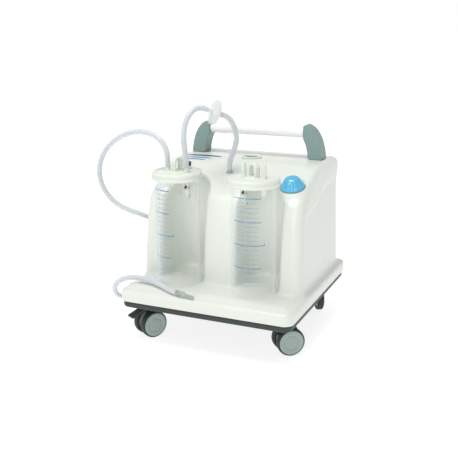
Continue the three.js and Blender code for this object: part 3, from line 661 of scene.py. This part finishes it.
for number, jar_x in JAR_AT.items():
    wall = turned([(r, h + JAR_LOW) for r, h in soft(JAR_PROFILE, 2.5)], 96)
    jar = make(f"jar_{number}_clear", [at(wall, jar_x, JAR_Y)], "clear", f"jar_{number}", [f"jar_{number}"])
    jar.visible_shadow = jar.visible_diffuse = False
    middle = SCALE_TURN[number]
    prints, fine = [], []
    for hundred in range(1, 21):
        z = SCALE_ZERO + hundred * STEP_100
        if hundred % 5:
            fine.append(mark(middle - 34, middle - 5, z, SHORT_LINE))
            fine.append(mark(middle + 5, middle + 27, z, SHORT_LINE))
            prints.append(numeral(str(hundred * 100), 4.4, middle, z))
        else:
            reach = 43 if hundred == 10 else 33
            prints.append(mark(middle - 42, middle - 8, z, LONG_LINE))
            prints.append(mark(middle + 8, middle + reach, z, LONG_LINE))
            prints.append(numeral(str(hundred * 100), 7, middle, z))
            if hundred == 10:
                prints.append(mark(middle + reach - 1.6, middle + reach, z + 2.6, 6))
    for half in range(1, 41, 2):
        fine.append(mark(middle - 20, middle - 10, SCALE_ZERO + half * STEP_100 / 2, FINE_LINE))
    make(f"jar_{number}_scale", [at(s, jar_x, JAR_Y) for s in prints], "print", f"jar_{number}")
    make(f"jar_{number}_fine_scale", [at(s, jar_x, JAR_Y) for s in fine], "fine_print", f"jar_{number}")

# ---- lids, gaskets, cages and floats ----

GRIP_TURN = {1: 70, 2: -24}
PORT_REACH, CAP_OFFSET = 26, (12, 42)


def spigot(low, top):
    """A tapered barbed spout with a bore."""
    outer = [(0, low), (7.6, low), (6.6, low + 2.5)]
    height = top - low
    outer.append((6.2, low + height * 0.4))
    for share in (0.4, 0.6, 0.8):
        r = 6.3 - share * 0.9
        outer += [(r + 0.45, low + height * (share + 0.02)), (r, low + height * (share + 0.17))]
    outer += [(5.0, top), (3.4, top), (3.0, low + 1), (0, low + 1)]
    return turned(soft(outer, 0.5, 2), 32)


for number, jar_x in JAR_AT.items():
    body = f"lid_{number}"
    connected = number == 1
    cover = soft([(0, 439), (59.3, 439), (59.3, 426.5), (62.3, 426.5), (63.5, 429), (63.5, 436), (62.1, 437),
                  (63.4, 438), (63.4, 442.5), (61.8, 446), (57, 447), (54.5, 446.9), (53.4, 444.6),
                  (21, 444.8), (20, 446.9), (0, 447)], 0.9, 3)
    shapes = [turned(cover, 96)]
    for side in (-1, 1):
        shapes.append(at(spigot(445, 455 if connected else 480), side * PORT_REACH))
    patient_side = -1 if connected else 1
    stub = soft([(3.6, 439.5), (6, 439.5), (6, 404), (5, 402), (3.6, 402)], 0.5, 2, True)
    shapes.append(at(turned(stub, 32), patient_side * PORT_REACH))
    turn = math.radians(GRIP_TURN[number])
    leg = [(-11, 446), (-11, 456), (-11, 466)]
    bow = [(11 * math.cos(a), 468 + 11 * math.sin(a)) for a in np.linspace(math.pi, 0, 17)]
    hoop = leg + bow + [(-u, z) for u, z in leg[::-1]]
    path = [(u * math.cos(turn), u * math.sin(turn), z) for u, z in hoop]
    shapes.append(bar_along(path, (-math.sin(turn), math.cos(turn), 0), 15.4, 5.6))
    shapes.append(at(block(-14, 14, -8.5, 8.5, 446, 449.5), turn=Matrix.Rotation(turn, 3, "Z")))
    if connected:
        cap_seat = soft([(0, 445), (6.6, 445), (6, 448), (6, 452), (3.2, 452), (3.2, 446), (0, 446)], 0.6, 2)
        shapes.append(at(turned(cap_seat, 32), *CAP_OFFSET))
    make(f"lid_{number}_moulding", [at(s, jar_x, JAR_Y) for s in shapes], "lid", body, [f"lid_{number}"])
    seal = soft([(54.2, 436.7), (57.9, 436.7), (57.9, 438.6), (54.2, 438.6)], 0.7, 3, True)
    make(f"lid_{number}_seal", [at(turned(seal, 96), jar_x, JAR_Y)], "rubber", body,
         [f"lid_gasket_{number}"])
    cage_x = jar_x + (PORT_REACH if connected else -PORT_REACH)
    cage = [turned(soft([(0, 376), (9, 376), (9, 382), (7.4, 382), (7.4, 377.5), (0, 377.5)], 0.6, 3), 48),
            turned(soft([(7.4, 425), (9, 425), (9, 438.5), (7.4, 438.5)], 0.4, 2, True), 48),
            turned(soft([(7.4, 402), (9, 402), (9, 404.5), (7.4, 404.5)], 0.4, 2, True), 48)]
    strut = soft([(7.4, 381), (9, 381), (9, 426), (7.4, 426)], 0.4, 2, True)
    cage += [turned(strut, 6, quarter * 90 + 30, 30) for quarter in range(4)]
    make(f"float_{number}_guide", [at(s, cage_x, JAR_Y) for s in cage], "frosted", body,
         [f"float_cage_{number}"])
    bob = turned(soft([(0, 377.8), (4.8, 377.8), (5.8, 380), (5.8, 399), (4.8, 401), (0, 401)], 1.2, 3), 40)
    make(f"float_{number}_bob", [at(bob, cage_x, JAR_Y)], "lid", f"float_{number}", [f"float_{number}"])
    tip = turned(soft([(0, 401), (6.4, 401), (6.5, 406), (4.2, 409.4), (0, 409.6)], 1.2, 3), 40)
    make(f"float_{number}_seat", [at(tip, cage_x, JAR_Y)], "seal_brown", f"float_{number}")

cap = turned(soft([(0, 452.3), (5.6, 452.3), (5.9, 454), (5.3, 455), (6, 456), (6, 461), (4.8, 463.2),
                   (0, 463.4)], 1.0, 3), 48, flutes=12, depth=0.04)
make("port_cap_rubber", [at(cap, JAR_AT[1] + CAP_OFFSET[0], JAR_Y + CAP_OFFSET[1])], "rubber",
     "port_cap", ["port_cap"])

# ---- filter halves and patient connector ----

for name, side in (("filter_inlet_half", -1), ("filter_outlet_half", 1)):
    shell = [(0, 0.15), (32, 0.15), (32, 2.4), (31, 3.2), (29.5, 3.4), (28.6, 2.6), (26, 3.2), (12, 6.2),
             (8, 7.2), (6.4, 8.6), (6.1, 13), (5.6, 14), (6.0, 14.5), (5.2, 19.7), (0, 19.7)]
    shapes = [turned(soft(shell, 0.8, 3), 72)]
    for k in range(12):
        rib = block(9, 27.5, -0.6, 0.6, 2.4, 5.2)
        verts = rib[0].copy()
        verts[:, 2] -= np.where(verts[:, 2] > 4, (verts[:, 0] - 9) * 0.075, 0)
        shapes.append(at((verts, rib[1]), turn=Matrix.Rotation(k * math.pi / 6, 3, "Z")))
    turn = along(FILTER_AXIS * side)
    make(f"{name}_shell", [at(s, *(FILTER_AT / MM), turn=turn) for s in shapes],
                              "frosted", "lid_1", [name])

hose_end = Vector(PATIENT_ROUTE[-1])
last_run = (hose_end - Vector(PATIENT_ROUTE[-2])).normalized()
tip_from = (hose_end + last_run * 1.2 * MM) / MM
barrel = [(0, 0), (6.2, 0), (6.2, 9), (5.7, 9.6), (6.2, 10.2), (6.2, 13), (7.1, 14), (7.2, 20), (6.3, 20.8),
          (4.7, 21.4), (4.3, 27), (4.7, 28), (4.1, 34), (4.5, 35), (3.7, 42), (4.1, 43), (3.5, 50),
          (2.2, 50), (2.2, 24), (0, 24)]
grips = [turned([(5.9, 1.5 + 2.2 * k), (6.7, 1.9 + 2.2 * k), (6.7, 2.5 + 2.2 * k), (5.9, 2.9 + 2.2 * k)], 40)
         for k in range(3)]
aim = along((0.985, -0.13, -0.075))
shapes = [at(s, *tip_from, turn=aim) for s in [turned(soft(barrel, 0.5, 3), 40)] + grips]
connector = make("patient_connector_barbed", shapes, "frosted_dark", "lid_1", ["patient_connector"])

# ---- vacuum gauge ----

def on_gauge(profile, radius=0.6):
    return at(turned(soft(profile, radius, 3), 72), *GAUGE)


make("gauge_bezel", [on_gauge([(0, 416), (24.5, 416), (24.5, 446.3), (27.4, 446.3), (27.5, 448),
                               (26.4, 450.3), (24.2, 450.4), (23.2, 449), (22.6, 446), (22.6, 434.7),
                               (0, 434.7)])], "housing", "base", ["gauge_case"])
# A grey-green ring lining the bezel's inner wall: painted shade of the recessed well, darker than the bezel
# around it.
make("gauge_painted_shade_ring", [on_gauge([(21.9, 436.5), (22.5, 436.5), (22.5, 444.5), (21.9, 444.5)], 0.2)], "arm",
     "base")
make("gauge_face", [on_gauge([(0, 435), (22.2, 435), (22.2, 436.2), (1.2, 436.2), (1.2, 440), (0, 440)],
                             0.3)], "dial", "base", ["gauge_dial"])
make("gauge_glass", [on_gauge([(0, 442), (22.2, 442), (22.2, 443), (18, 443.6), (0, 444)], 0.3)], "clear",
     "base", ["gauge_lens"])

NEEDLE_REST, NUMBER_REACH = 225, 13
dial_marks = []
for k in range(31):
    bearing = math.radians(NEEDLE_REST - k * 9)
    long = k % 5 == 0
    tick = block(16.2 if long else 17.6, 20, -0.35 if long else -0.18, 0.35 if long else 0.18, 436.1, 436.4)
    dial_marks.append(at(tick, *GAUGE, turn=Matrix.Rotation(bearing, 3, "Z")))
    if long:
        dial_marks.append(at(flat_text(str(k // 5), 4.2, 0.1), GAUGE[0] + NUMBER_REACH * math.cos(bearing),
                             GAUGE[1] + NUMBER_REACH * math.sin(bearing), 436.3))
make("gauge_marks", dial_marks, "ink", "base")
pointer = prism([(-17, -0.25), (-17, 0.25), (-3, 1.0), (6, 1.6), (6, -1.6), (-3, -1.0)], 437.2, 438.1)
verts = pointer[0][:, [0, 2, 1]]
pointer = at((verts, pointer[1]), *GAUGE, turn=Matrix.Rotation(math.radians(NEEDLE_REST - 180), 3, "Z"))
hub = on_gauge([(1.6, 437), (3.2, 437), (3.2, 438.5), (1.6, 438.5)], 0.2)
make("gauge_pointer", [pointer, hub], "ink", "needle", ["gauge_needle"])

# ---- regulator knob and vacuum inlet ----

knob_turn = Matrix.Rotation(KNOB_TILT, 3, "X")
skirt = soft([(0, -14), (3, -14), (3, 0), (29.5, 0), (31, 1.2), (31, 3.0), (29.6, 4.6)], 0.8, 3)
dome = soft([(29.6, 4.6), (26.5, 8), (22.5, 16), (18, 23.5), (10.5, 26.8), (0, 27.5)], 6, 8)
verts, faces = turned(skirt + dome[1:], 144)
bearing = np.arctan2(verts[:, 1], verts[:, 0])
reach = np.hypot(verts[:, 0], verts[:, 1])
grip = smooth_step((verts[:, 2] - 4.5) / 3) * smooth_step((25 - verts[:, 2]) / 8)
hollow = 1 - 0.10 * grip * (0.5 + 0.5 * np.cos(12 * bearing)) ** 2
verts[:, 0] *= hollow
verts[:, 1] *= hollow
make("regulator_knob_fluted", [at((verts, faces), *(KNOB_AT / MM), turn=knob_turn)], "knob", "knob",
     ["regulator_knob"])
marker = bar_along([(0, -20.6, 17.6), (0, -17, 22.2), (0, -11, 26.0)], (1, 0, 0), 1.8, 0.9, 2)
make("regulator_pointer_line", [at(marker, *(KNOB_AT / MM), turn=knob_turn)], "dial", "knob")
ring = turned(soft([(31.3, -0.2), (32.8, -0.2), (32.6, 0.5), (31.5, 0.6)], 0.2, 2, True), 96)
make("regulator_seat_ring", [at(ring, *(KNOB_AT / MM), turn=knob_turn)], "arm", "base")
inlet = [(0, 402), (4.5, 402), (4.5, 425), (9, 425), (9, 427), (8, 427.8), (6.6, 428.4), (6.4, 431.8),
         (3, 431.8), (3, 424), (0, 424)]
make("vacuum_inlet_elbow", [at(turned(soft(inlet, 0.5, 3), 40), *INLET)], "fitting", "base",
     ["vacuum_inlet"])

# ---- handle ----

ARM = soft([(151, 446.3), (150, 464), (145, 484), (139, 497), (137, 502), (137, 534), (141, 537),
            (151, 534.5), (162, 527), (173, 513), (181, 497), (187, 477), (190.5, 456), (191, 446.3)],
           5, 4, closed=True)
ARM_DEPTH, BAR_Y, BAR_Z = (118, 160), 135, 516
for side, mirror in (("right", 1), ("left", -1)):
    outline = [(mirror * x, z) for x, z in ARM]
    make(f"handle_arm_{side}_moulding", [prism(outline, *ARM_DEPTH)], "arm", "base",
         [f"handle_arm_{side}"], bevel=2.2)
bar = soft([(0, -136.7), (12.6, -136.7), (14, -135), (14, -120), (13.6, -119.4), (14, -118.8), (14, 118.8),
            (13.6, 119.4), (14, 120), (14, 135), (12.6, 136.7), (0, 136.7)], 0.6, 3)
make("handle_grip_bar", [at(turned(bar, 64), 0, BAR_Y, BAR_Z, turn=along((1, 0, 0)))], "bar",
     "base", ["handle_bar"])

# ---- base plate ----

rings = [plan_ring(235 - i, 238 - i, max(22 - i * 0.3, 8), z) for i, z in
         ((9.5, 96), (7.2, 96.6), (5.6, 98.2), (5, 100.5), (5, 109.6), (5.9, 110.0), (5.9, 111.7))]
make("base_pan", [skin(rings)], "dark", "base", ["base_plate"])
pads = []
for x, y in ((-171, -145), (171, -145), (-171, 150), (171, 150)):
    pads.append(at(turned(soft([(15.8, 96.2), (19, 93.2), (30, 93.2), (30, 96.2)], 1, 2, True), 40), x, y))
make("caster_plates", pads, "steel", "base")

# ---- rear panel ----

PANEL_FACE, SOCKET_X, SOCKET_Z, SWITCH_X = 219.3, -105, 204.5, -60
hoods = []
for k in range(6):
    z = 270 + k * 16
    lip = [(0, z + 7.4), (1.4, z + 7.2), (3.2, z + 5.6), (4.2, z + 2.6), (3.4, z + 2.6), (2.4, z + 5),
           (1, z + 6.2), (0, z + 6.4)]
    verts, faces = prism([(y, h) for y, h in lip], -70, 70)
    hoods.append((np.stack([verts[:, 1], 219.2 + verts[:, 0], verts[:, 2]], axis=1), faces))
make("rear_louvres", hoods, "housing", "base")
screws, slot_shades = [], []
head = turned(soft([(0, -0.6), (4, -0.6), (4, 0.8), (2.8, 1.9), (0, 2.2)], 0.5, 3), 32)
for x in (-140, 0, 140):
    for z in (174, 386):
        screws.append(at(head, x, PANEL_FACE, z, turn=along((0, 1, 0))))
        # The cross slots are not cut: dark bars standing on each head are painted shade of the recess.
        for turn in (0.4, 0.4 + math.pi / 2):
            slot_shade = block(-2.6, 2.6, 1.2, 2.26, -0.45, 0.45)
            slot_shades.append(at(slot_shade, x, PANEL_FACE, z, turn=Matrix.Rotation(turn, 3, "Y")))
make("rear_screws", screws, "steel", "base")
make("rear_screw_slot_painted_shade", slot_shades, "dark", "base")
pins = [at(block(-1.3, 1.3, 206, 221.5, -3.2, 3.2), SOCKET_X + dx, 0, SOCKET_Z + dz)
        for dx, dz in ((-7, -2), (7, -2), (0, 3.5))]
make("mains_pins", pins, "steel", "base", bevel=0.4)
off_mark = turned([(1.7, -0.2), (2.5, -0.2), (2.5, 0.25), (1.7, 0.25)], 24)
make("rocker_marks", [at(block(-0.5, 0.5, -0.2, 0.25, -2.6, 2.6), SWITCH_X, PANEL_FACE + 2.0, 205.2),
                      at(off_mark, SWITCH_X, PANEL_FACE + 3.0, 194.4, turn=along((0, 1, 0)))],
     "dial", "rocker")
ridge = [at(block(-9, 9, 224.2, 225.2, -0.4, 0.4), SOCKET_X, 0, 184 + 2 * k) for k in range(3)]
make("fuse_drawer_ridges", ridge, "dark", "fuse_drawer")

# ---- casters ----

WHEEL_OFFSET = 18
TYRE = soft([(28, -8.8), (33, -9), (35.6, -6.5), (36, -3), (36, 3), (35.6, 6.5), (34, 8.6), (31, 8.8),
             (28, 7)], 1.6, 3, True)
HUB = soft([(0, 6), (4.4, 6), (4.4, -8.4), (12, -8.4), (13, -7), (28.6, -7), (28.6, 6.5), (31.2, 7.4),
            (31.4, 9.2), (30, 10), (20.5, 10), (19.3, 9), (17, 9), (15.8, 10), (7, 10.3), (0, 10.5)],
           0.5, 3)

for joint in frame["record"]["behaviour"]["joints"]:
    if not joint["name"].startswith("roll_"):
        continue
    corner, letter = joint["name"][5:-2], joint["name"][-1]
    side = -1 if letter == "a" else 1
    turn = along(Vector(joint["axis"]) * side)
    place = Vector(joint["pos_m"]) / MM + Vector(joint["axis"]) * WHEEL_OFFSET * side
    wheel = f"wheel_{corner}_{letter}"
    make(f"tyre_{corner}_{letter}", [at(turned(TYRE, 64), *place, turn=turn)], "tyre", wheel, [wheel])
    make(f"hub_{corner}_{letter}", [at(turned(HUB, 64), *place, turn=turn)], "wheel", wheel)

# ---- plain stripes on the deck, in place of any lettering ----

DECK_LINE = front_path() / MM


def deck_height(y):
    """Height of the housing's top at this y, in millimetres."""
    return float(np.interp(y, DECK_LINE[:, 0], DECK_LINE[:, 1]))


for name, look, ends, width in (("deck_stripe_long", "ink", ((-180, 70), (-82, 74)), 15),
                                ("deck_stripe_middle", "print", ((-168, 47), (-100, 49)), 7),
                                ("deck_stripe_short", "print", ((-166, 33), (-112, 35)), 5)):
    (x0, y0), (x1, y1) = ends
    rows = []
    for t in np.linspace(0, 1, 24):
        x, y = x0 + (x1 - x0) * t, y0 + (y1 - y0) * t + 3 * math.sin(t * math.pi)
        half = width / 2 * math.sin(math.pi * min(max(t, 0.06), 0.94)) ** 0.4
        near, far = y - half, y + half
        rows.append(np.array([(x, near, deck_height(near) - 0.1), (x, far, deck_height(far) - 0.1),
                              (x, far, deck_height(far) + 0.5), (x, near, deck_height(near) + 0.5)]))
    make(name, [skin(rows)], look, "base")


# ---- CAD pieces that take a surface and softer edges ----

SURFACES = {
    "housing": ["rear_panel"],
    "rubber": ["mains_inlet", "switch_bezel"],
    "steel": ["regulator_valve", "motor_shaft", "pump_head", "pump_mount"],
    "motor": ["pump_motor"],
    "dial": ["run_capacitor"],
    "board": ["control_board"],
    "hose": ["inlet_tube", "gauge_tube"],
}
SOFTENED = {"rear_panel": 0.8, "mains_inlet": 0.7, "switch_bezel": 0.6, "switch_rocker": 0.5,
            "fuse_drawer": 0.5, "pump_head": 1.5, "pump_mount": 0.6}
for name, node in NODES.items():
    key = next((k for k, names in SURFACES.items() if name in names), "dark")
    node.data.materials.clear()
    node.data.materials.append(LOOK[key])
    width = 1.2 if name.startswith(("caster_fork", "brake_pedal")) else SOFTENED.get(name)
    if width:
        soften(node, width)


# ---- floor and light ----

def lamp(name, place, aim, size, power):
    data = bpy.data.lights.new(name, "AREA")
    data.shape = "RECTANGLE"
    data.size, data.size_y = size
    data.energy = power
    obj = bpy.data.objects.new(name, data)
    obj.location = place
    obj.rotation_euler = (Vector(aim) - Vector(place)).to_track_quat("-Z", "Y").to_euler()
    bpy.context.scene.collection.objects.link(obj)


mesh = bpy.data.meshes.new("floor")
mesh.from_pydata([(-30, -30, 0), (30, -30, 0), (30, 30, 0), (-30, 30, 0)], [], [(0, 1, 2, 3)])
floor = bpy.data.objects.new("floor", mesh)
bpy.context.scene.collection.objects.link(floor)
mesh.materials.append(surface("floor_paper", (176, 176, 176), 0.9, tint=0.004, patch=2, bump=0.0,
                              Emission_Color=(1, 1, 1, 1), Emission_Strength=0.8))

world = bpy.data.worlds.new("studio")
world.use_nodes = True
sky, links = world.node_tree.nodes, world.node_tree.links
direction = sky.new("ShaderNodeTexCoord")
split = sky.new("ShaderNodeSeparateXYZ")


def ramp_of(output, low, high, start, end):
    node = sky.new("ShaderNodeMapRange")
    for key, value in (("From Min", low), ("From Max", high), ("To Min", start), ("To Max", end)):
        node.inputs[key].default_value = value
    links.new(output, node.inputs["Value"])
    return node.outputs["Result"]


tone = sky.new("ShaderNodeMix")
tone.data_type = "RGBA"
tone.inputs["A"].default_value = (1, 1, 1, 1)
tone.inputs["B"].default_value = (0.33, 0.39, 0.33, 1)
links.new(direction.outputs["Generated"], split.inputs["Vector"])
overhead = ramp_of(split.outputs["Z"], 0.14, 0.34, 0, 1)
shaded = sky.new("ShaderNodeMath")
shaded.operation = "MULTIPLY"
links.new(ramp_of(split.outputs["X"], 0.25, 0.9, 0, 1), shaded.inputs[0])
links.new(overhead, shaded.inputs[1])
links.new(shaded.outputs[0], tone.inputs["Factor"])
links.new(tone.outputs["Result"], sky["Background"].inputs["Color"])
links.new(ramp_of(overhead, 0, 1, 1.0, 0.5), sky["Background"].inputs["Strength"])
bpy.context.scene.world = world
lamp("key", (-0.2, -0.6, 3.0), (0, 0, 0.3), (1.5, 1.2), 50)
lamp("front", (0.8, -2.8, 1.1), (0, 0, 0.3), (1.6, 1.0), 13)
bpy.context.scene.view_settings.view_transform = "Standard"

import json
